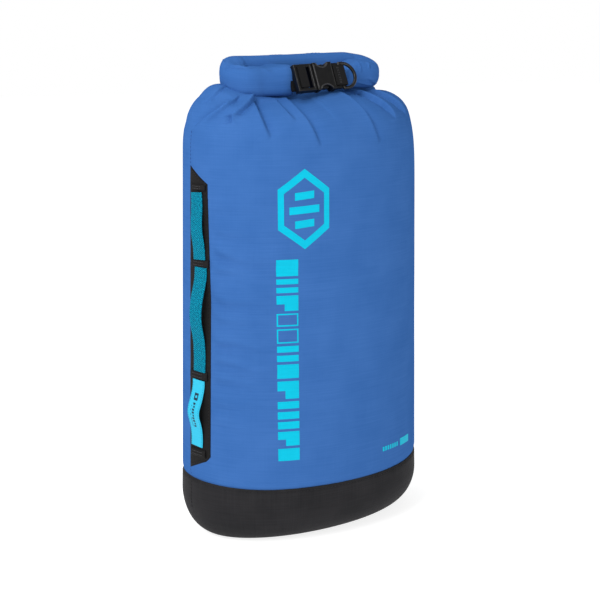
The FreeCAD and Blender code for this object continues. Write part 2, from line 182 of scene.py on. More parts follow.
def webbing_material(name, dark, light, pitch, relief):
    """Narrow webbing: heavy ribs across its width, paler on the crowns of the yarn."""
    n = Material(name, 0.7, Specular_IOR_Level=0.06)
    vector = n.cloth_vector()
    ribs = n.weave(vector, pitch * 1.3, pitch)
    fleck = n.noise(vector, 0.7, 2.0)
    mixed = n.math("ADD", n.math("MULTIPLY", ribs, 0.24), n.math("MULTIPLY", fleck, 0.9))
    n.colour(mixed, dark, light, 0.3, 0.72)
    n.bump(ribs, relief * MM, 0.9)
    return n.material


def plastic_material(name, dark, light, rough, shine=0.5):
    """Moulded plastic with a fine spark-eroded grain and slightly rubbed patches."""
    n = Material(name, rough, Specular_IOR_Level=shine)
    vector = n.object_vector()
    n.colour(n.noise(vector, 0.25, 3.0), dark, light)
    rub = n.math("ADD", rough - 0.08, n.math("MULTIPLY", n.noise(vector, 0.4, 3.0), 0.16))
    n.link(rub, n.shader.inputs["Roughness"])
    n.bump(n.noise(vector, 3.0, 2.0), 0.03 * MM, 0.5)
    return n.material


BLUE = cloth_material("blue_cloth", srgb(52, 95, 157), srgb(60, 103, 166), 0.5, 0.8, 0.02,
                      shine=0.0)
BLACK = cloth_material("base_cloth", srgb(32, 32, 34), srgb(44, 43, 45), 0.6, 1.2, 0.06, 0.5,
                       shine=0.04)
PATCH = cloth_material("patch_cloth", srgb(17, 16, 17), srgb(25, 24, 24), 0.75, 0.8, 0.05, 0.5,
                       shine=0.15)
TAB = cloth_material("tab_cloth", srgb(14, 14, 15), srgb(22, 22, 23), 0.7, 0.7, 0.05, 0.5,
                     shine=0.15)
TEAL = webbing_material("teal_webbing", srgb(0, 84, 112), srgb(6, 160, 190), 1.9, 0.4)
CYAN = cloth_material("cyan_label", srgb(40, 172, 206), srgb(52, 182, 214), 0.45, 0.5, 0.02,
                      shine=0.1)
PRINT = cloth_material("print_ink", srgb(0, 172, 200), srgb(0, 182, 210), 0.5, 0.8, 0.02,
                       shine=0.08)
MARK = cloth_material("label_ink", srgb(10, 40, 60), srgb(20, 52, 74), 0.6, 0.5, 0.02)
THREAD_BLACK = cloth_material("black_thread", srgb(10, 10, 11), srgb(24, 24, 26), 0.6, 0.4, 0.03)
THREAD_GREY = cloth_material("grey_thread", srgb(44, 44, 47), srgb(66, 66, 70), 0.6, 0.4, 0.03)
THREAD_BLUE = cloth_material("blue_thread", srgb(14, 46, 104), srgb(24, 60, 126), 0.6, 0.4, 0.03)
THREAD_CYAN = cloth_material("cyan_thread", srgb(16, 132, 166), srgb(30, 150, 186), 0.6, 0.4, 0.03)
TAPE = cloth_material("seam_tape", srgb(176, 188, 198), srgb(200, 210, 218), 0.4, 0.9, 0.02)
BUCKLE = plastic_material("buckle_plastic", srgb(6, 6, 7), srgb(12, 12, 13), 0.4, 0.3)
# paler plastic for raised beads on the buckle: its paler colour paints the highlights along their
# edges
RIM_PAINTED_HIGHLIGHT = plastic_material("buckle_rim_painted_highlight", srgb(26, 26, 28), srgb(38, 38, 40), 0.3, 0.5)
RING_PLASTIC = plastic_material("ring_plastic", srgb(8, 8, 9), srgb(16, 16, 17), 0.3, 0.4)


# ---------------------------------------------------------------- mesh helpers
def show(name, data):
    """New object in the scene for a mesh, a lamp or a camera."""
    piece = bpy.data.objects.new(name, data)
    bpy.context.scene.collection.objects.link(piece)
    return piece


def make_mesh(name, points, faces, material, uv=None):
    """Mesh object from points in millimetres; uv gives cloth coordinates for each point."""
    points = np.asarray(points, float).reshape(-1, 3)
    data = bpy.data.meshes.new(name)
    data.from_pydata((points * MM).tolist(), [], faces)
    data.materials.append(material)
    layer = data.uv_layers.new(name="cloth_mm")
    corners = np.zeros(len(data.loops), np.int32)
    data.loops.foreach_get("vertex_index", corners)
    if uv is None:
        uv = points[:, [0, 2]] + points[:, [1, 1]] * 0.5
    layer.data.foreach_set("uv", np.asarray(uv, np.float32).reshape(-1, 2)[corners].ravel())
    data.polygons.foreach_set("use_smooth", np.ones(len(data.polygons), bool))
    return show(name, data)


def grid_faces(rows, columns, close_columns=False, offset=0):
    """Quads of a grid of points stored row by row."""
    faces = []
    for i in range(rows - 1):
        for j in range(columns if close_columns else columns - 1):
            m = (j + 1) % columns
            faces.append((offset + i * columns + j, offset + i * columns + m,
                          offset + (i + 1) * columns + m, offset + (i + 1) * columns + j))
    return faces


def tube_faces(rows, columns):
    """Faces of a tube of rings, with a cap at each end."""
    last = (rows - 1) * columns
    return grid_faces(rows, columns, close_columns=True) + [
        tuple(range(columns))[::-1], tuple(last + i for i in range(columns))]


def thicken(piece, wall):
    """Give a cloth a wall on its inner side, in millimetres."""
    solid = piece.modifiers.new("wall", "SOLIDIFY")
    solid.thickness = wall * MM
    solid.offset = -1
    return piece


def settle(piece, body, slot, *replaced):
    """Give a piece its body and hide the CAD nodes that it stands for; slot is not used."""
    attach(piece, body)
    if replaced:
        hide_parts(*replaced)
    return piece


def round_length(ring):
    """Running length round a closed ring of points."""
    return arc_length(np.concatenate([ring, ring[:1]]))[:-1]


def cloth_map(across, along):
    """Cloth coordinates of a grid from its running lengths across and along."""
    return np.stack(np.broadcast_arrays(across[None, :], along[:, None]), -1)


def smooth_step(x):
    x = np.clip(x, 0, 1)
    return x * x * (3 - 2 * x)


def unit(vectors):
    return vectors / np.maximum(np.linalg.norm(vectors, axis=-1, keepdims=True), 1e-9)


def arc_length(points):
    """Running length along a line of points."""
    steps = np.linalg.norm(np.diff(points, axis=0), axis=-1)
    return np.concatenate([[0], np.cumsum(steps)])


def wavy(x, y, seed, scale):
    """Smooth random field of two coordinates: a sum of slanting waves."""
    local = np.random.default_rng(seed)
    total = np.zeros(np.broadcast(x, y).shape)
    for order in range(1, 7):
        angle = local.uniform(0, math.pi)
        phase = local.uniform(0, math.tau)
        way = order / scale * (0.8 + 0.4 * local.random())
        total += np.sin((x * math.cos(angle) + y * math.sin(angle)) * way + phase) / order
    return total / 2


def from_line(points, normals, line, reach):
    """Distance of points from a line on a surface, left negative, and how far down it they are.

    Only points within reach are worked out; the rest are left far away.
    """
    flat = points.reshape(-1, 3)
    side_normals = normals.reshape(-1, 3)
    offset = np.full(len(flat), 1e3)
    share = np.zeros(len(flat))
    middle = line.mean(0)
    size = np.linalg.norm(line - middle, axis=1).max() + reach
    near = np.flatnonzero(np.linalg.norm(flat - middle, axis=1) < size)
    gaps = flat[near, None, :] - line[None, :, :]
    best = np.argmin((gaps ** 2).sum(-1), axis=1)
    run = unit(np.gradient(line, axis=0))[best]
    across = unit(np.cross(run, side_normals[near]))
    gap = gaps[np.arange(len(near)), best]
    beside = (gap * across).sum(-1)
    along = (gap * run).sum(-1)
    inside = np.linalg.norm(gap, axis=-1) < reach
    steps = arc_length(line)
    down = (steps[best] + along) / steps[-1]
    offset[near] = np.where(inside, beside, 1e3)
    share[near] = down
    shape = points.shape[:-1]
    return offset.reshape(shape), share.reshape(shape)


def tuck_profile(offset, share, depth, side):
    """Height of a tuck: the cloth swells to a sharp lip and drops into a narrow valley."""
    u = offset * side
    fade = np.where(share < 0, np.exp(share / 0.12), np.clip((1 - share) / 0.28, 0, 1) ** 0.6)
    width = 0.7 + 1.5 * np.clip(share, 0, 1)
    step = 0.5 * (1 + np.tanh(u / width))
    swell = 0.9 * (1 - step) * np.exp(-np.abs(u) / 8.0)
    valley = step * (1.2 * np.exp(-np.abs(u) / 4.0) + 0.5 * np.exp(-np.abs(u) / 12.0))
    return depth * fade * (swell - valley)


# ---------------------------------------------------------------- the bag's surface
roll_low, roll_high = span("rolled_collar")
TAPER = 0.018667
DEPTH_RATIO = 0.67
FLOOR_HALF_WIDTH = 129.2
SECTION_POWER = 2.08
SEAM_HEIGHT = span("base_band")[1][2]
SHOULDER_START = 376.0
SHOULDER_TOP = span("body_panel")[1][2]
NECK_HALF_WIDTH = 88.0
NECK_HALF_DEPTH = 15.0
EDGE_HEIGHT = 42.0
COLUMNS = 900
FRONT_COLUMN = COLUMNS * 3 // 4
# Cloth per radian round the bag, roughly, and how far round from its end a lash strip reaches.
CLOTH_PER_RADIAN = 100
STRIP_REACH = 33


def half_sizes(z):
    """Half width and half depth of the bag's section at a height, with its shoulders."""
    wide = FLOOR_HALF_WIDTH - TAPER * z
    deep = DEPTH_RATIO * wide
    t = np.clip((z - SHOULDER_START) / (SHOULDER_TOP - SHOULDER_START), 0, 1)
    spread = (1 - t ** 2.5) ** 0.4
    wide = NECK_HALF_WIDTH + (wide - NECK_HALF_WIDTH) * spread
    deep = NECK_HALF_DEPTH + (deep - NECK_HALF_DEPTH) * spread
    return wide, deep


def section(angle, wide, deep):
    """Point of a section: a superellipse a little squarer than an ellipse."""
    c, s = np.cos(angle), np.sin(angle)
    power = 2 / SECTION_POWER
    return (wide * np.sign(c) * np.abs(c) ** power, deep * np.sign(s) * np.abs(s) ** power)


def body_points(angle, z):
    """Undisturbed surface of the bag above its base seam."""
    wide, deep = half_sizes(z)
    x, y = section(angle, wide, deep)
    # the right shoulder draws in lower down
    x = x - 2.4 * np.maximum(np.cos(angle), 0) * np.exp(-((z - 396) / 22) ** 2)
    rise = neck_rise(angle) * smooth_step((z - 396) / 34)
    rise = rise + 5.5 * np.maximum(-np.cos(angle), 0) ** 4 * smooth_step((z - 423) / 7)
    return np.stack(np.broadcast_arrays(x, y, z + rise), -1)


def neck_rise(angle):
    """How far the neck's edge lies over its plain height: lowest at front left and at the back."""
    drop = 8.5 * np.sin(angle) ** 2
    eased = 0.95 * smooth_step((np.cos(angle) + 0.36) / 0.46) * (np.sin(angle) < 0)
    return 0.2 - 2.2 * np.cos(angle) - drop * (1 - eased)


def body_normals(angle, z):
    """Outward normals of the undisturbed surface."""
    around = body_points(angle + 0.002, z) - body_points(angle - 0.002, z)
    low = np.minimum(z, SHOULDER_TOP - 0.2)
    up = body_points(angle, low + 0.2) - body_points(angle, low - 0.2)
    return unit(np.cross(around, up))


def normals_of(points):
    """Unit normals of a grid of points that closes on itself along its columns."""
    along = np.roll(points, -1, 1) - np.roll(points, 1, 1)
    up = np.gradient(points, axis=0)
    return unit(np.cross(along, up))


def seam_at(angle):
    """Height of the seam between blue and black: it rises a little towards both ends."""
    return SEAM_HEIGHT + 4.0 * np.cos(angle) ** 4 - 0.6


# Tucks that run down from the roll. Each: angle round the bag in degrees and height of its
# top, the same of its foot, depth in mm, and which side overlaps.
TUCKS = (
    (225.5, 427, 211.4, 409, 3.0, -1),
    (226.0, 427, 232.8, 391, 3.6, -1),
    (240.5, 428, 246.0, 408, 1.8, -1),
    (248.5, 429, 256.5, 383, 3.4, -1),
    (262.0, 429, 267.0, 398, 0.3, 1),
    (280.0, 429, 287.2, 383, 3.6, -1),
    (297.5, 429, 304.8, 405, 3.4, 1),
    (312.0, 429, 322.0, 407, 3.6, 1),
    (213.5, 425, 193.0, 403, 1.7, -1),
    (207.0, 421, 181.0, 399, 2.2, 1),
    (198.0, 429, 182.5, 417, 1.2, -1),
    (334.0, 428, 340.0, 404, 1.2, -1),
    (356.0, 428, 358.0, 402, 1.4, 1),
    (18.0, 428, 14.0, 398, 1.3, 1),
    (40.0, 428, 30.0, 404, 1.6, 1),
    (58.0, 428, 50.0, 388, 1.9, -1),
    (74.0, 429, 70.0, 396, 1.2, 1),
    (92.0, 429, 94.0, 380, 2.0, -1),
    (108.0, 429, 113.0, 398, 1.2, -1),
    (124.0, 428, 132.0, 388, 1.9, 1),
    (142.0, 428, 152.0, 402, 1.6, -1),
    (160.0, 427, 166.0, 398, 1.3, 1),
)
# Short dents where the cloth is pinched at the foot of a tuck.
PINCHES = ((211.2, 411, 211.6, 404.5, 2.6, 1),)
# Level creases that spread from each lash strip away from its side seam. Each: height at the
# strip, how much it falls per mm, depth, half width and reach in mm.
LEVEL_CREASES = (
    (322, 0.02, 0.5, 3.5, 40),
    (299, 0.06, 0.9, 3.0, 46),
    (281, 0.16, 1.5, 3.2, 62),
    (266, 0.10, 1.1, 2.8, 34),
    (239, 0.14, 1.3, 3.4, 60),
    (219, 0.05, 0.9, 3.0, 42),
    (197, 0.12, 1.5, 3.4, 56),
    (179, 0.16, 1.2, 3.0, 60),
    (160, 0.08, 1.2, 3.2, 48),
    (138, 0.05, 0.8, 3.4, 44),
    (118, 0.10, 0.6, 3.6, 40),
)


def tuck_line(first_angle, first_z, last_angle, last_z):
    t = np.linspace(0, 1, 60)
    angle = np.radians(first_angle + (last_angle - first_angle) * t)
    return body_points(angle, first_z + (last_z - first_z) * t)


def cloth_relief(points, normals, angle, z):
    """Everything that makes the cloth uneven, as a height along its normal."""
    height = np.zeros(points.shape[:-1])
    if np.max(z) > 370:
        for first_angle, first_z, last_angle, last_z, depth, side in TUCKS + PINCHES:
            line = tuck_line(first_angle, first_z, last_angle, last_z)
            offset, share = from_line(points, normals, line, 30.0)
            height += tuck_profile(offset, share, depth, side)
    around = angle * CLOTH_PER_RADIAN
    upright = smooth_step((z - SEAM_HEIGHT) / 60) * smooth_step((SHOULDER_TOP - z) / 90)
    # smooth under the two lash strips
    calm = smooth_step((np.abs(np.sin(angle)) - 0.37) / 0.3)
    height += 0.8 * wavy(around / 2.2, z, 3, 70) * upright * calm
    if np.min(z) < 340:
        for end in (math.pi, 0.0):
            away = (angle - end) * CLOTH_PER_RADIAN - STRIP_REACH
            for start, fall, depth, half, reach in LEVEL_CREASES:
                bend = 1.5 * np.sin(away / 11 + start)
                u = (z - start + fall * away + bend) / (1.3 * half)
                fade = smooth_step(away / 10) * np.exp(-(np.maximum(away, 0) / reach) ** 2)
                swell = 0.7 * np.exp(-((u - 1.9) / 1.4) ** 2)
                height += 2.1 * depth * fade * (swell - np.exp(-u ** 2))
    # pull-in and small puckers along the base seam
    near_seam = np.exp(-((z - seam_at(angle)) / 3.2) ** 2)
    pucker = np.exp(-((z - seam_at(angle) - 6) / 9) ** 2) * wavy(around * 1.6, z * 0.2, 8, 14)
    pucker = pucker * calm
    return height - 1.1 * near_seam + 0.22 * pucker


def on_bag(angle, z, lift):
    """Points lifted off the finished cloth at angles and heights, and the normals there."""
    angle, z = np.broadcast_arrays(np.asarray(angle, float), np.asarray(z, float))
    points = body_points(angle, z)
    normals = body_normals(angle, z)
    relief = cloth_relief(points, normals, angle % math.tau, z)
    return points + normals * (relief + lift)[..., None], normals


def angle_at_arc(arc, z):
    """Angle of the cloth at a distance round from the left side seam, towards the front."""
    steps = np.linspace(0, 0.9, 181)
    x, y = section(math.pi + steps, *half_sizes(z))
    run = arc_length(np.stack([x, y], -1))
    return math.pi + np.interp(arc, run, steps)


body_angle = np.linspace(0, math.tau, COLUMNS, endpoint=False)[None, :]


def body_rows():
    """Heights of the rows of the blue cloth, close together in the shoulders."""
    straight = np.linspace(0, 1, 120)[:-1] * (SHOULDER_START - 6 - SEAM_HEIGHT) + SEAM_HEIGHT
    bend = np.linspace(0, math.pi / 2, 110)
    shoulder = SHOULDER_START - 6 + (SHOULDER_TOP - SHOULDER_START + 6) * np.sin(bend)
    return np.concatenate([straight, shoulder])


def make_body():
    """The blue cloth from the base seam to the neck, running up into the roll."""
    z = body_rows()[:, None]
    lift = np.clip(1 - (z - SEAM_HEIGHT) / 120, 0, 1)
    z_here = z + (seam_at(body_angle) - SEAM_HEIGHT) * lift
    angle = body_angle + 0 * z
    points = body_points(angle, z_here)
    normals = normals_of(points)
    points = points + normals * cloth_relief(points, normals, angle, z_here)[..., None]
    # collar cloth that goes on up into the roll
    neck = []
    for step in range(1, 9):
        t = step / 8
        wide = NECK_HALF_WIDTH - 5 - 12 * t
        deep = NECK_HALF_DEPTH - 9 * smooth_step(t)
        x, y = section(body_angle[0], wide, deep)
        height = SHOULDER_TOP + 10 * t + neck_rise(body_angle[0]) * (1 - t)
        flat = np.stack([x, y + 6 * smooth_step(t), height], -1)
        blend = smooth_step(t * 1.2)
        ring = points[-1] * (1 - blend) + flat * blend
        ring[:, 2] = height
        neck.append(ring)
    points = np.concatenate([points, np.array(neck)])
    uv = cloth_map(round_length(points[40]), arc_length(points[:, FRONT_COLUMN]))
    faces = grid_faces(len(points), COLUMNS, close_columns=True)
    piece = make_mesh("body_cloth", points, faces, BLUE, uv)
    thicken(piece, 0.6)
    return settle(piece, BAG, "body_fabric", "body_panel")


def edge_inset(angle):
    """How far the floor oval is set in from the side, a little more at the right."""
    return 30.5 + 3.5 * np.cos(angle), 41 + 4.5 * np.cos(angle)


def base_profile(steps):
    """Rounded lower edge: height and how far the section has drawn in, from the floor up."""
    for angle in np.linspace(0, math.pi / 2, steps):
        yield EDGE_HEIGHT * (1 - math.cos(angle)), 1 - math.sin(angle)


def base_relief(angle, z):
    """Unevenness of the black cloth: slow waves, and a groove along the base seam."""
    waves = 0.5 * wavy(angle * 60, z, 11, 30) * smooth_step(z / 20)
    return waves - 1.0 * np.exp(-((z - seam_at(angle)) / 2.6) ** 2)


def make_base():
    """The black lower part: rounded edge and band, closed underneath."""
    angle = body_angle[0]
    rings = []
    wide_top = FLOOR_HALF_WIDTH - TAPER * EDGE_HEIGHT
    inset_x, inset_y = edge_inset(angle)
    for share in np.linspace(0.02, 0.97, 14):
        x, y = section(angle, (wide_top - inset_x) * share,
                       (wide_top * DEPTH_RATIO - inset_y) * share)
        rings.append(np.stack([x, y, 0 * x + 0.25], -1))
    for z, inset in base_profile(34):
        x, y = section(angle, wide_top - inset_x * inset, wide_top * DEPTH_RATIO - inset_y * inset)
        rings.append(np.stack([x, y, 0 * x + z + 0.25 * inset], -1))
    for t in np.linspace(0.06, 1, 16):
        z = EDGE_HEIGHT + (seam_at(angle) + 0.2 - EDGE_HEIGHT) * t
        wide = FLOOR_HALF_WIDTH - TAPER * z
        x, y = section(angle, wide, wide * DEPTH_RATIO)
        rings.append(np.stack([x, y, z], -1))
    points = np.array(rings)
    normals = normals_of(points)
    z = points[..., 2]
    height = base_relief(angle, z) * smooth_step(z / 6)
    points = points + normals * height[..., None]
    uv = cloth_map(round_length(points[-1]), arc_length(points[:, FRONT_COLUMN]))
    faces = grid_faces(len(points), COLUMNS, close_columns=True)
    faces.append(tuple(range(COLUMNS))[::-1])
    piece = make_mesh("base_cloth", points, faces, BLACK, uv)
    thicken(piece, 0.8)
    return settle(piece, BAG, "base_fabric", "base_band", "base_panel")


# ---------------------------------------------------------------- lash strips and prints
def ribbon(path, normals, across, width, thick, crown=0.15):
    """Rings of a flat strap along a path, with slightly rounded edges and a faint crown."""
    half = width / 2
    outline = [(-half, 0.25 * thick), (-half + 0.3, 0.85 * thick), (-half + 1.1, thick)]
    for x in np.linspace(-half + 2, half - 2, 11):
        outline.append((x, thick + crown * (1 - (x / half) ** 2)))
    outline += [(half - 1.1, thick), (half - 0.3, 0.85 * thick), (half, 0.25 * thick)]
    outline += [(half - 0.4, 0.0), (0.0, 0.0), (-half + 0.4, 0.0)]
    rings = []
    for place, up, side in zip(path, normals, across):
        rings.append([place + side * x + up * y for x, y in outline])
    return np.array(rings), np.array([x for x, _ in outline])


def strap_mesh(name, rings, across_mm, material):
    """Closed strap from its rings, mapped along and across its length."""
    rows, columns = rings.shape[:2]
    middle = columns // 2 - 2
    uv = cloth_map(across_mm, arc_length(rings[:, middle]))
    return make_mesh(name, rings, tube_faces(rows, columns), material, uv)


# Rings of one stitch's grain: share of its length, and size and rise in thread radii.
STITCH_RINGS = ((0, 0.35, -0.25), (0.18, 0.95, 0.1), (0.5, 1.05, 0.28), (0.82, 0.95, 0.1),
                (1, 0.35, -0.25))


def stitch_mesh(name, rows, material, radius=0.32, length=2.3, gap=1.1):
    """Rows of stitches: small rounded grains of thread lying along lines on the cloth.

    Each row is a pair of arrays: points along the line and the cloth's normals there.
    """
    points, faces = [], []
    ring = [(math.cos(a), math.sin(a)) for a in np.linspace(0, math.tau, 6, endpoint=False)]
    for line, normals in rows:
        run = arc_length(line)
        count = int(run[-1] // (length + gap))
        for k in range(count):
            start = k * (length + gap) + gap / 2
            at = [np.interp([start, start + length], run, line[:, i]) for i in range(3)]
            first, last = np.array(at).T
            up = normals[np.searchsorted(run, start + length / 2) % len(normals)]
            way = unit(last - first)
            side = unit(np.cross(way, up))
            base = len(points)
            for share, size, rise in STITCH_RINGS:
                centre = first + (last - first) * share + up * rise * radius
                for c, s in ring:
                    points.append(centre + (side * c + up * s) * radius * size)
            for i in range(4):
                for j in range(6):
                    m = (j + 1) % 6
                    faces.append((base + i * 6 + j, base + i * 6 + m,
                                  base + i * 6 + 6 + m, base + i * 6 + 6 + j))
            faces.append(tuple(base + j for j in range(6))[::-1])
            faces.append(tuple(base + 24 + j for j in range(6)))
    return make_mesh(name, points, faces, material)


def half_turn(points):
    """The same points on the other side of the bag."""
    return points * np.array([-1.0, -1.0, 1.0])


PATCH_WIDTH = 29.0
PATCH_LIFT = 0.75


def patch_edges(arc):
    """Heights of the patch's lower and upper edge at a distance from the side seam."""
    top = np.interp(arc, [0, PATCH_WIDTH], [364, 348])
    bottom = np.interp(arc, [0, 24.5, PATCH_WIDTH], [72, 83, 88])
    return bottom, top


def patch_share(z):
    """Share of the patch's full width at a height: it narrows towards the top."""
    return np.interp(z, [240, 344], [1.0, 0.845])


def strip_point(arc, z, lift):
    """Point over the left lash strip and the cloth's normal there."""
    arc, z = np.broadcast_arrays(np.asarray(arc, float), np.asarray(z, float))
    angle = np.array([angle_at_arc(a, h) for a, h in zip(arc.ravel(), z.ravel())])
    return on_bag(angle.reshape(arc.shape), z, lift)


def make_patch(side, place):
    """Black patch: its inner edge is caught in the side seam and its outer edge is sewn down."""
    rows, columns = 120, 16
    arcs = np.concatenate([[0.0], np.linspace(0.6, PATCH_WIDTH - 0.5, columns - 2), [PATCH_WIDTH]])
    share = np.linspace(0, 1, rows)
    bottom, top = patch_edges(arcs)
    z = bottom[None, :] + (top - bottom)[None, :] * share[:, None]
    arc = arcs[None, :] * patch_share(z)
    edge = np.minimum(np.minimum(arc, PATCH_WIDTH * patch_share(z) - arc) / 0.6,
                      np.minimum(share, 1 - share)[:, None] * 290 / 0.6)
    lift = PATCH_LIFT * np.clip(edge, 0.1, 1) + 0.1 * wavy(arc, z, 5, 9)
    points, _ = strip_point(arc, z, lift)
    uv = np.stack([arc, z], -1)
    # the grid runs up and towards the front, so its faces already look outwards
    piece = make_mesh(f"patch_cloth_{side}", place(points),
                      grid_faces(rows, columns), PATCH, uv)
    thicken(piece, 0.5)
    return settle(piece, BAG, "patch_fabric", f"lash_patch_{side}")


# Each strap: name, lower and upper end, distance of its middle from the seam at those ends,
# how far it stands off and at what share of its length, and how much it waves sideways.
LOOPS = (
    ("upper_lash_loop", 277.5, 340.0, 16.0, 11.5, 1.6, 0.45, 0.3),
    ("middle_lash_loop", 170.5, 270.5, 16.2, 17.6, 5.6, 0.64, 0.6),
    ("label_loop", 96.5, 162.0, 12.6, 15.0, 5.0, 0.56, 0.4),
)


def loop_path(low, high, arc_low, arc_high, bulge, peak, wave):
    """Middle line of a strap, flat at its ends and standing off between them."""
    t = np.linspace(0, 1, 90)
    z = low + (high - low) * t
    arc = arc_low + (arc_high - arc_low) * t
    arc += wave * np.sin(t * math.pi * 2.6 + 0.6) * np.sin(t * math.pi)
    u = np.where(t < peak, t / peak, (1 - t) / (1 - peak))
    hump = smooth_step((u - 0.08) / 0.9) ** 1.3
    ripple = 0.5 * np.sin(t * math.pi * 5) * np.sin(t * math.pi) ** 2
    lift = PATCH_LIFT + 0.25 + bulge * hump + ripple * (bulge > 3)
    return strip_point(arc, z, lift)


def make_loops(side, place):
    """Webbing loops, the folded label, and the bars of thread and tape between them."""
    rows = []
    for name, low, high, arc_low, arc_high, bulge, peak, wave in LOOPS:
        path, normals = loop_path(low, high, arc_low, arc_high, bulge, peak, wave)
        run = unit(np.gradient(path, axis=0))
        side_way = unit(np.cross(normals, run))
        up = unit(np.cross(run, side_way))
        label = name == "label_loop" and side == "left"
        width = 16.5 if label else 15.5
        thick = 0.9 if label else 1.35
        rings, across_mm = ribbon(path, up, side_way, width, thick, 0.1 if label else 0.25)
        if not label:
            ridge = 0.10 * np.sin(arc_length(path) * math.tau / 2.2)
            rings[:, 2:16] += up[:, None, :] * ridge[:, None, None]
        slot, material = ("label_fabric", CYAN) if label else ("teal_webbing", TEAL)
        node = "lower_lash_loop" if name == "label_loop" and side == "right" else name
        piece = strap_mesh(f"{node}_cloth_{side}", place(rings), across_mm, material)
        settle(piece, BAG, slot, f"{node}_{side}")
        if label:
            make_label_marks(path, up, side_way, width, thick, place)
            for x in (-width / 2 + 1.2, width / 2 - 1.2):
                line = path + side_way * x + up * (thick + 0.08)
                rows.append((place(line), place(up)))
    if rows:
        piece = stitch_mesh(f"label_stitches_{side}", rows, THREAD_CYAN, 0.2, 1.5, 0.8)
        settle(piece, BAG, "label_fabric")
    make_bars(side, place)


def make_label_marks(path, up, side_way, width, thick, place):
    """Plain generic marks printed on the label: a ring and short lines along it."""
    points, faces = [], []

    def quad(t0, t1, x0, x1):
        base = len(points)
        steps = 5
        for i in range(steps + 1):
            t = t0 + (t1 - t0) * i / steps
            k = t * (len(path) - 1)
            low = min(int(k), len(path) - 2)
            part = k - low
            centre = path[low] * (1 - part) + path[low + 1] * part
            for x in (x0, x1):
                crown = 0.1 * (1 - (2 * x / width) ** 2)
                points.append(centre + side_way[low] * x + up[low] * (thick + crown + 0.08))
        for i in range(steps):
            faces.append((base + 2 * i, base + 2 * i + 1, base + 2 * i + 3, base + 2 * i + 2))

    for t0, t1 in ((0.70, 0.735), (0.77, 0.805)):
        quad(t0, t1, -2.6, 2.6)
    quad(0.735, 0.77, -2.6, -1.2)
    quad(0.735, 0.77, 1.2, 2.6)
    for k, t0 in enumerate(np.arange(0.30, 0.64, 0.042)):
        quad(t0, t0 + 0.028, -1.5, 0.4 if k % 3 == 1 else 1.5)
    quad(0.30, 0.62, 3.0, 3.5)
    piece = make_mesh("label_marks", place(np.array(points)), faces, MARK)
    settle(piece, BAG, "label_fabric")


# Each bar: height, half of its own height, and its two ends' distances from the side seam.
BARS = (
    (344.6, 3.0, 3.5, 22.8),
    (273.9, 4.2, 4.0, 27.0),
    (166.6, 4.6, 3.0, 26.0),
    (90.0, 4.2, 3.5, 24.0),
)


def make_bars(side, place):
    """Folded tape sewn across the patch at each strap's ends, with two rows of stitches."""
    stitches = []
    tapes, faces, uv = [], [], []
    for height, half, first, last in BARS:
        arc, rise = np.meshgrid(np.linspace(first, last, 14),
                                height + np.linspace(-half, half, 7))
        edge = 1 - (np.abs(rise - height) / half) ** 6
        lift = PATCH_LIFT + 0.35 + 1.25 * edge
        points, normals = strip_point(arc, rise, lift)
        base = sum(len(p) for p in tapes)
        tapes.append(points.reshape(-1, 3))
        uv.append(np.stack([arc, rise], -1).reshape(-1, 2))
        faces += grid_faces(7, 14, offset=base)
        for at in (2, 4):
            stitches.append((place(points[at, 2:12] + normals[at, 2:12] * 0.1),
                             place(normals[at, 2:12])))
    piece = make_mesh(f"bar_tapes_{side}", place(np.concatenate(tapes)), faces, PATCH,
                      np.concatenate(uv))
    thicken(piece, 0.9)
    settle(piece, BAG, "patch_fabric", f"bar_tack_strips_{side}")
    edge_rows = []
    inset = 2.2
    z = np.linspace(92, 338, 260)
    points, normals = strip_point(PATCH_WIDTH * patch_share(z) - inset, z, PATCH_LIFT + 0.1)
    edge_rows.append((place(points), place(normals)))
    arc = np.linspace(1.5, 24, 30)
    for height, way in zip(patch_edges(arc), (1, -1)):
        height = height + way * inset
        points, normals = strip_point(arc * patch_share(height), height, PATCH_LIFT + 0.1)
        edge_rows.append((place(points), place(normals)))
    settle(stitch_mesh(f"patch_stitches_{side}", edge_rows, THREAD_BLACK, 0.24, 2.0, 1.0),
           BAG, "patch_fabric")
    settle(stitch_mesh(f"tack_stitches_{side}", stitches, THREAD_GREY, 0.3, 1.7, 0.7),
           BAG, "patch_fabric")


def make_side_stitches():
    """Stitching of both side seams, black on the base, and the row along the base seam."""
    blue, black, low = [], [], []
    for start in (math.pi, 0.0):
        for z0, z1, rows in ((SEAM_HEIGHT + 5, 398, blue), (30, SEAM_HEIGHT + 3, black)):
            z = np.linspace(z0, z1, int(z1 - z0) + 1)
            angle = start + 0 * z
            if rows is blue:
                points, normals = on_bag(angle, z, 0.12)
            else:
                points, normals = base_wall(angle, z, 0.15)
            rows.append((points, normals))
    angle = np.linspace(0, math.tau, 1400)
    points, normals = base_wall(angle, seam_at(angle) - 2.6, 0.15)
    low.append((points, normals))
    settle(stitch_mesh("side_seam_stitches", blue, THREAD_BLUE, 0.22, 2.0, 1.5), BAG,
           "body_fabric")
    settle(stitch_mesh("base_seam_stitches", black + low, THREAD_BLACK, 0.28, 2.4, 1.2), BAG,
           "base_fabric")


def base_wall(angle, z, lift):
    """Points on the black band, lifted off it; good above the rounded edge."""
    t = np.clip((EDGE_HEIGHT - z) / EDGE_HEIGHT, 0, 1)
    inset = 1 - np.sqrt(1 - t ** 2)
    wide = FLOOR_HALF_WIDTH - TAPER * np.maximum(z, EDGE_HEIGHT)
    inset_x, inset_y = edge_inset(angle)
    x, y = section(angle, wide - inset_x * inset, wide * DEPTH_RATIO - inset_y * inset)
    points = np.stack([x, y, z], -1)
    normals = unit(np.stack([np.cos(angle) / wide, np.sin(angle) / (wide * DEPTH_RATIO),
                             -0.004 * t], -1))
    return points + normals * (base_relief(angle, z) + lift)[..., None], normals


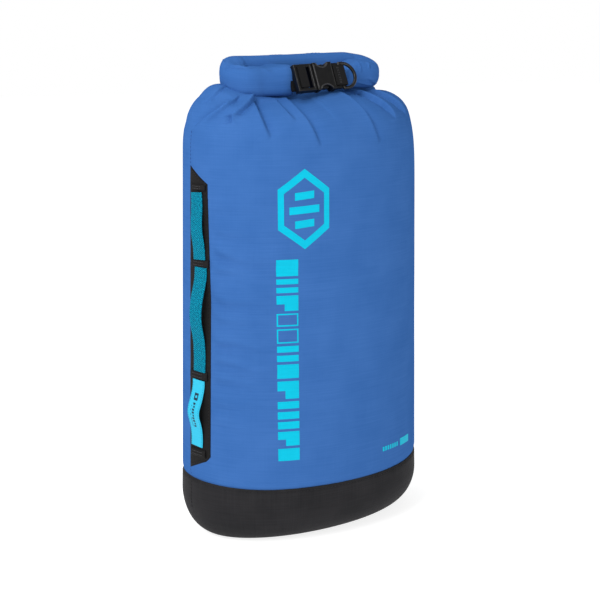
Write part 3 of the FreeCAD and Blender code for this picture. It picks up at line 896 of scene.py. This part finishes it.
def front_angle(x, z):
    """Angle of the front of the bag at a distance to the side."""
    wide, _ = half_sizes(z)
    share = np.clip(x / wide, -1, 1)
    return -np.arccos(np.sign(share) * np.abs(share) ** (SECTION_POWER / 2)) % math.tau


def hexagon(x, z, wide, tall, share):
    """Corners of an upright hexagon, at a share of its full size."""
    corners = ((0, 1), (1, 0.5), (1, -0.5), (0, -1), (-1, -0.5), (-1, 0.5))
    return [(x + a * wide / 2 * share, z + b * tall / 2 * share) for a, b in corners]


# The badge: its middle, its width and its height.
BADGE = (-46.5, 326, 48, 74)
# The column of blocks from the top down: height and kind of each.
BLOCKS = ((15.5, "solid"), (13.0, "bars"), (14.5, "half"), (12.0, "outline"), (13.5, "outline"),
          (15.0, "bars"), (13.5, "solid"), (17.0, "half"), (17.0, "bars"), (7.0, "solid"),
          (14.0, "half"), (12.0, "solid"))


def make_prints():
    """Plain marks printed on the front: a six-sided badge, a column of blocks, a small line."""
    points, faces, uv = [], [], []

    def quad(corners, steps=10):
        """Four-cornered patch of ink, laid on the cloth; corners run round from lower left."""
        (x0, z0), (x1, z1), (x2, z2), (x3, z3) = corners
        s, t = np.meshgrid(np.linspace(0, 1, steps), np.linspace(0, 1, steps))
        x = (x0 * (1 - s) + x1 * s) * (1 - t) + (x3 * (1 - s) + x2 * s) * t
        z = (z0 * (1 - s) + z1 * s) * (1 - t) + (z3 * (1 - s) + z2 * s) * t
        laid, _ = on_bag(front_angle(x, z), z, 0.12)
        base = sum(len(p) for p in points)
        points.append(laid.reshape(-1, 3))
        uv.append(np.stack([x, z], -1).reshape(-1, 2))
        faces.extend(grid_faces(steps, steps, offset=base))

    def block(x0, x1, z0, z1, steps=10):
        quad(((x0, z0), (x1, z0), (x1, z1), (x0, z1)), steps)

    outer = hexagon(*BADGE, 1.0)
    inner = hexagon(*BADGE, 0.78)
    for i in range(6):
        k = (i + 1) % 6
        quad((outer[i], inner[i], inner[k], outer[k]), 14)
    for rise, half in ((-13, 9), (0, 14), (13, 9)):
        x0, x1 = BADGE[0] - half, BADGE[0] + half
        quad(((x0, 321 + rise), (x1, 323 + rise), (x1, 330 + rise), (x0, 328 + rise)), 14)
    left, right = -72.5, -53.0
    top, gap, line = 280.0, 2.6, 1.3
    for number, (length, kind) in enumerate(BLOCKS):
        low = top - length
        if kind == "solid":
            block(left, right, low, top, 12)
        elif kind == "bars":
            third = (length - 3.0) / 2
            block(left, right, low, low + third)
            block(left, right, top - third, top)
        elif kind == "half":
            block(left, right, low + length * 0.45, top)
            block(left + 7, right, low, low + length * 0.45)
        elif kind == "outline":
            block(left, right, low, low + line)
            block(left, right, top - line, top)
            block(left, left + line, low + line, top - line)
            block(right - line, right, low + line, top - line)
        top = low - gap
    for x in np.arange(43.0, 66.0, 3.6):
        block(x, x + 2.5, 79.0, 83.5, 4)
    block(71.0, 88.0, 77.8, 85.2, 8)
    piece = make_mesh("front_prints", np.concatenate(points), faces, PRINT, np.concatenate(uv))
    settle(piece, BAG, "body_fabric")


# ---------------------------------------------------------------- the roll
LAYER_FRONT_Y = -16.5
LAYER_BACK_Y = (roll_low[1] + roll_high[1]) / 2
LEFT_BEND_X = -64.0
RIGHT_BEND_X = 59.5
FRONT_LEFT_END = -28.5
FRONT_RIGHT_END = 24.0
BEND_RADIUS = (LAYER_BACK_Y - LAYER_FRONT_Y) / 2
BEND_Y = (LAYER_BACK_Y + LAYER_FRONT_Y) / 2
RING_POINTS = 120
ROLL_TOP = 463.0
ROLL_BOTTOM = 431.0
ROLL_HALF = 12.7

# Creases pressed into the roll: ends of each on its surface, depth, and which side is raised.
ROLL_CREASES = (
    ((-90, -6, 453), (-74, -22, 457), 1.5, 1),
    ((-74, -20, 456), (-60, -19, 456.5), 0.9, -1),
    ((-88, 2, 458), (-83, 6, 462), 1.1, 1),
    ((-60, -26, 454), (-50, -29, 447), 0.5, -1),
    ((49, -24, 457), (50, -29, 447), 1.1, 1),
    ((62, -22, 456), (60, -28, 449), 0.9, -1),
    ((44, -29, 437), (66, -25, 432), 0.7, 1),
    ((58, -29, 441), (76, -20, 434), 0.9, 1),
    ((70, -16, 458), (74, -20, 452), 0.8, 1),
    ((40, -27, 455), (36, -29, 448), 0.6, -1),
    ((-60, 22, 442), (58, 22, 444), 0.7, 1),
    ((30, 21, 458), (34, 22, 446), 0.5, 1),
    ((-20, 21, 457), (-16, 22, 447), 0.5, -1),
    ((-30, 12, 463), (-10, 2, 463), 0.4, 1),
    ((10, 10, 464), (34, 4, 464), 0.4, -1),
)


def roll_plan():
    """Middle line of the roll: right front layer, right bend, back, left bend, left front."""
    def bend(x, way, start, end, count):
        a = np.radians(np.linspace(start, end, count))
        return [(x + way * BEND_RADIUS * math.sin(v), BEND_Y + BEND_RADIUS * math.cos(v))
                for v in a]

    def straight(x0, x1, y, count):
        return [(x, y) for x in np.linspace(x0, x1, count)[1:-1]]

    plan = [(FRONT_RIGHT_END, LAYER_FRONT_Y)]
    plan += straight(FRONT_RIGHT_END, RIGHT_BEND_X, LAYER_FRONT_Y, 52)
    plan += bend(RIGHT_BEND_X, 1, 180, 0, 64)
    plan += straight(RIGHT_BEND_X, LEFT_BEND_X, LAYER_BACK_Y, 150)
    plan += bend(LEFT_BEND_X, -1, 0, 180, 64)
    plan += straight(LEFT_BEND_X, FRONT_LEFT_END, LAYER_FRONT_Y, 46)
    plan.append((FRONT_LEFT_END, LAYER_FRONT_Y))
    return np.array(plan)


def roll_shape(x, y):
    """Half thickness, bottom, top, flatness and lean of the roll's section at a plan point."""
    round_ = smooth_step((LAYER_BACK_Y - y) / (LAYER_BACK_Y - LAYER_FRONT_Y))
    if x < 0:
        top = ROLL_TOP - 10.0 * round_ + 2.0 * smooth_step((x + 52) / 18) * round_
        lean = 0.55 + 0.3 * smooth_step((x + 60) / 20) - 0.7 * smooth_step((x + 42) / 12)
        lean = round_ * lean
        bottom = ROLL_BOTTOM - 5.8 * round_
        half = ROLL_HALF - 1.2 * round_
        flat = 2.7 + 0.8 * round_
    else:
        start = 1 - smooth_step((x - FRONT_RIGHT_END) / 30)
        top = ROLL_TOP + 2.0 - 7.0 * round_ - 9.0 * start * round_
        top = top - 1.6 * smooth_step((x - 54) / 16)
        lean = smooth_step((LAYER_BACK_Y - 12 - y) / 12) * (1 - start)
        bottom = ROLL_BOTTOM + 1.0 - 1.0 * round_
        half = ROLL_HALF - 0.9 * round_
        flat = 2.5
    if y > LAYER_BACK_Y - 0.1:
        share = smooth_step((x - LEFT_BEND_X) / (RIGHT_BEND_X - LEFT_BEND_X))
        top = ROLL_TOP + 2.0 * share - 1.6 * smooth_step((x - 54) / 16)
        bottom = ROLL_BOTTOM + 1.0 * share
        flat = 2.7 - 0.2 * share
    return half, bottom, top, flat, lean


def make_roll():
    """The rolled collar with its two ends bent round to the front."""
    plan = roll_plan()
    run = unit(np.gradient(plan, axis=0))
    outward = np.stack([run[:, 1], -run[:, 0]], 1)
    length = arc_length(plan)
    total = length[-1]
    turn = np.linspace(0, math.tau, RING_POINTS, endpoint=False)
    c, s = np.cos(turn), np.sin(turn)
    rings = []
    for place, out, here in zip(plan, outward, length):
        half, bottom, top, flat, lean = roll_shape(*place)
        d = half * np.sign(c) * np.abs(c) ** (2 / flat)
        h = (top - bottom) / 2 * np.sign(s) * np.abs(s) ** (2 / flat)
        inner = 2 * np.maximum(0, -c) * np.maximum(0, s)
        d = d - 8.5 * lean * inner
        h = h + 2.2 * lean * inner
        if place[0] > 0:
            # the right end is fuller on top
            d = d + 0.8 * s * np.maximum(0, c)
        elif place[1] < BEND_Y:
            # the left front layer stands forward where it meets the plug
            d = d + 4.4 * smooth_step((place[0] + 62) / 30) * np.maximum(0, c) ** 0.5
        near_end = min(here, total - here)
        close = 0.88 + 0.12 * math.sqrt(max(0.0, 1 - max(0.0, 1 - near_end / 3.0) ** 2))
        d, h = d * close, (top + bottom) / 2 + h * close
        rings.append(np.stack([place[0] + out[0] * d, place[1] + out[1] * d, h], -1))
    points = np.array(rings)
    normals = normals_of(points)
    around = round_length(points[150])
    relief = 0.35 * wavy(length[:, None] + 0 * turn, around[None, :] * 1.2, 5, 34)
    relief += 0.10 * wavy(length[:, None] * 1.6, around[None, :] * 0.6, 6, 12)
    for start, end, depth, side in ROLL_CREASES:
        line = np.linspace(start, end, 30).astype(float)
        offset, share = from_line(points, normals, line, 16.0)
        bell = np.clip(np.sin(np.clip(share, 0, 1) * math.pi), 0, 1) ** 0.6
        u = offset * side
        fold = np.exp(-np.abs(u) / 4.0) * np.where(u < 0, 0.6, 0.2)
        fold -= 1.2 * np.exp(-(u / 1.1) ** 2)
        relief += 1.4 * depth * bell * fold * (np.abs(offset) < 900)
    points = points + normals * relief[..., None]
    uv = cloth_map(around, length)[..., ::-1]
    piece = make_mesh("roll_cloth", points, tube_faces(len(points), RING_POINTS), BLUE, uv)
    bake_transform(piece)
    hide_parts("rolled_collar", "collar_end_right", "collar_end_left")


# ---------------------------------------------------------------- hardware
def moulded(node, body, slot, material, edge=0.35):
    """Copy of a hard CAD node with its sharp edges eased, which stands for it."""
    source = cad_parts[node]
    data = source.data.copy()
    data.materials.clear()
    data.materials.append(material)
    mesh = bmesh.new()
    mesh.from_mesh(data)
    bmesh.ops.remove_doubles(mesh, verts=mesh.verts, dist=0.002 * MM)
    bmesh.ops.dissolve_limit(mesh, angle_limit=math.radians(1.0), verts=mesh.verts,
                             edges=mesh.edges)
    mesh.to_mesh(data)
    mesh.free()
    piece = show(node.replace("buckle", "moulded"), data)
    bevel = piece.modifiers.new("edge", "BEVEL")
    bevel.width = edge * MM
    bevel.segments = 3
    bevel.limit_method = "ANGLE"
    bevel.angle_limit = math.radians(32)
    data.polygons.foreach_set("use_smooth", np.ones(len(data.polygons), bool))
    data.set_sharp_from_angle(angle=math.radians(35))
    return settle(piece, body, slot, node)


BUCKLE_PLACE = np.array([-5.5, -36.3, 442.8])
LEAN = math.radians(23.0)
TILT = math.radians(2.5)
BUCKLE_X = np.array([math.cos(TILT), 0.0, math.sin(TILT)])
BUCKLE_Y = np.array([math.sin(TILT) * math.sin(LEAN), math.cos(LEAN),
                     -math.cos(TILT) * math.sin(LEAN)])
BUCKLE_Z = np.cross(BUCKLE_X, BUCKLE_Y)


def buckle_point(x, y, z):
    """Place of a point drawn on the flat buckle: x along it, -y out of its face, z up it."""
    x, y, z = np.broadcast_arrays(*(np.asarray(v, float) for v in (x, y, z)))
    return (BUCKLE_PLACE + x[..., None] * BUCKLE_X + y[..., None] * BUCKLE_Y
            + z[..., None] * BUCKLE_Z)


def bead(name, line, radius, body, material):
    """Thin raised bead along a line on the buckle, with tapered ends."""
    run = unit(np.gradient(line, axis=0))
    side = unit(np.cross(run, BUCKLE_Y))
    ring = np.linspace(0, math.tau, 10, endpoint=False)
    rings = []
    for k, place in enumerate(line):
        end = min(k, len(line) - 1 - k)
        size = radius * min(1.0, 0.35 + 0.3 * end)
        rings.append(place + size * (np.cos(ring)[:, None] * side[k]
                                     + np.sin(ring)[:, None] * BUCKLE_Y))
    piece = make_mesh(name, rings, tube_faces(len(rings), len(ring)), material)
    return settle(piece, body, "buckle_plastic")


def make_hardware():
    moulded("buckle_female_body", BAG, "buckle_plastic", BUCKLE)
    moulded("buckle_male_frame", PLUG, "buckle_plastic", BUCKLE)
    moulded("buckle_prong_upper", "prong_upper", "buckle_plastic", BUCKLE, 0.3)
    moulded("buckle_prong_lower", "prong_lower", "buckle_plastic", BUCKLE, 0.3)
    moulded("buckle_tab_left", PLUG, "tab_fabric", TAB, 0.5)
    moulded("buckle_tab_right", BAG, "tab_fabric", TAB, 0.5)
    face = -4.6
    window_x, window_z, window_radius = 5, 16.0, 7.7
    a = np.radians(np.linspace(-64, 64, 40))
    for name, way in (("upper", 1), ("lower", -1)):
        # rim round each arched window, in the paler plastic that paints a highlight along it
        line = buckle_point(window_x + window_radius * np.sin(a), face + 0.15,
                            way * (window_z - window_radius * np.cos(a)))
        bead(f"window_rim_painted_highlight_{name}", line, 0.7, BAG, RIM_PAINTED_HIGHLIGHT)
    z = np.linspace(-12.0, 12.0, 30)
    # the mouth rim and the plug's slot rib also take the paler plastic, a painted highlight along
    # each
    bead("receiver_mouth_rim_painted_highlight", buckle_point(-4.1 + 0 * z, face + 0.1, z), 0.5, BAG, RIM_PAINTED_HIGHLIGHT)
    bead("receiver_back_rib", buckle_point(15.0 + 0 * z, face + 0.1, z), 0.55, BAG, BUCKLE)
    bead("plug_slot_rib_painted_highlight", buckle_point(-8.0 + 0 * z, -3.75, z), 0.45, PLUG, RIM_PAINTED_HIGHLIGHT)
    # two rows of stitches across the right tab
    across = np.linspace(-8.6, 8.6, 30)
    out = np.tile(-BUCKLE_Y, (30, 1))
    right = [(buckle_point(x + 0 * across, -3.72, across), out) for x in (21.6, 23.0)]
    settle(stitch_mesh("tab_stitches_right", right, THREAD_GREY, 0.22, 1.6, 0.8), BAG,
           "tab_fabric")


def make_bare_nodes():
    """Materials of the CAD nodes that show as they are."""
    for node, material in (("side_seam_tape_left", TAPE), ("side_seam_tape_right", TAPE),
                           ("base_seam_tape", TAPE), ("lip_stiffener_front", BUCKLE),
                           ("lip_stiffener_back", BUCKLE), ("d_ring", RING_PLASTIC)):
        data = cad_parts[node].data
        data.materials.clear()
        data.materials.append(material)


make_bare_nodes()
make_body()
make_base()
make_roll()
for side, place in (("left", lambda points: points), ("right", half_turn)):
    make_patch(side, place)
    make_loops(side, place)
make_side_stitches()
make_prints()
make_hardware()


# ---------------------------------------------------------------- light and camera
def make_floor():
    """White floor that fades the bag's own shadow."""
    n = Material("floor", 0.9, Specular_IOR_Level=0.0)
    n.shader.inputs["Base Color"].default_value = (0.5, 0.5, 0.5, 1)
    n.shader.inputs["Emission Color"].default_value = (1, 1, 1, 1)
    n.shader.inputs["Emission Strength"].default_value = 0.8
    size, level = 8000, -0.6
    corners = [(x * size, y * size, level) for x, y in ((-1, -1), (1, -1), (1, 1), (-1, 1))]
    floor = make_mesh("floor", corners, [(0, 1, 2, 3)], n.material)


def area_light(name, place, target, size, power):
    data = bpy.data.lights.new(name, "AREA")
    data.shape = "RECTANGLE"
    data.size, data.size_y = size
    data.energy = power
    lamp = show(name, data)
    lamp.location = place
    lamp.rotation_mode = "QUATERNION"
    lamp.rotation_quaternion = (Vector(target) - Vector(place)).to_track_quat("-Z", "Y")


def make_lights():
    middle = (0, 0, 0.25)
    area_light("key", (-1.8, -0.9, 1.6), middle, (0.8, 1.0), 28)
    area_light("fill", (0.8, -2.3, 0.8), middle, (1.2, 1.2), 9)
    area_light("top", (-0.5, 0.2, 2.2), middle, (1.4, 1.0), 10)
    world = bpy.data.worlds.new("studio")
    world.use_nodes = True
    sky = Nodes(world.node_tree)
    split = sky.add("ShaderNodeSeparateXYZ")
    sky.link(sky.add("ShaderNodeTexCoord").outputs["Generated"], split.inputs[0])
    # white round the horizon, dimmer above it, and dimmer still on the right
    height = sky.math("ABSOLUTE", split.outputs[2])
    band = sky.math("SUBTRACT", 1.35, sky.math("MULTIPLY", height, 3.5))
    left = sky.math("ADD", 0.50, sky.math("MULTIPLY", split.outputs[0], -0.42))
    level = sky.math("MINIMUM", sky.math("MAXIMUM", band, left), 1.0)
    sky.link(level, world.node_tree.nodes["Background"].inputs["Strength"])
    world.node_tree.nodes["Background"].inputs["Color"].default_value = (1, 1, 1, 1)
    bpy.context.scene.world = world
    bpy.context.scene.view_settings.view_transform = "Standard"


def make_camera():
    """Seen from the front left, a little above the bag's middle."""
    azimuth, elevation = math.radians(-33), math.radians(11.7)
    distance, target_height, slip = 1.310, 0.2225, -0.0014
    back = Vector((math.sin(azimuth) * math.cos(elevation),
                   -math.cos(azimuth) * math.cos(elevation), math.sin(elevation)))
    right = Vector((math.cos(azimuth), math.sin(azimuth), 0))
    data = bpy.data.cameras.new("camera")
    data.lens = 78.72
    data.sensor_width = 36
    camera = show("camera", data)
    camera.location = Vector((0, 0, target_height)) + back * distance + right * slip
    camera.rotation_mode = "QUATERNION"
    camera.rotation_quaternion = (-back).to_track_quat("-Z", "Y")
    bpy.context.scene.camera = camera


make_floor()
make_lights()
make_camera()
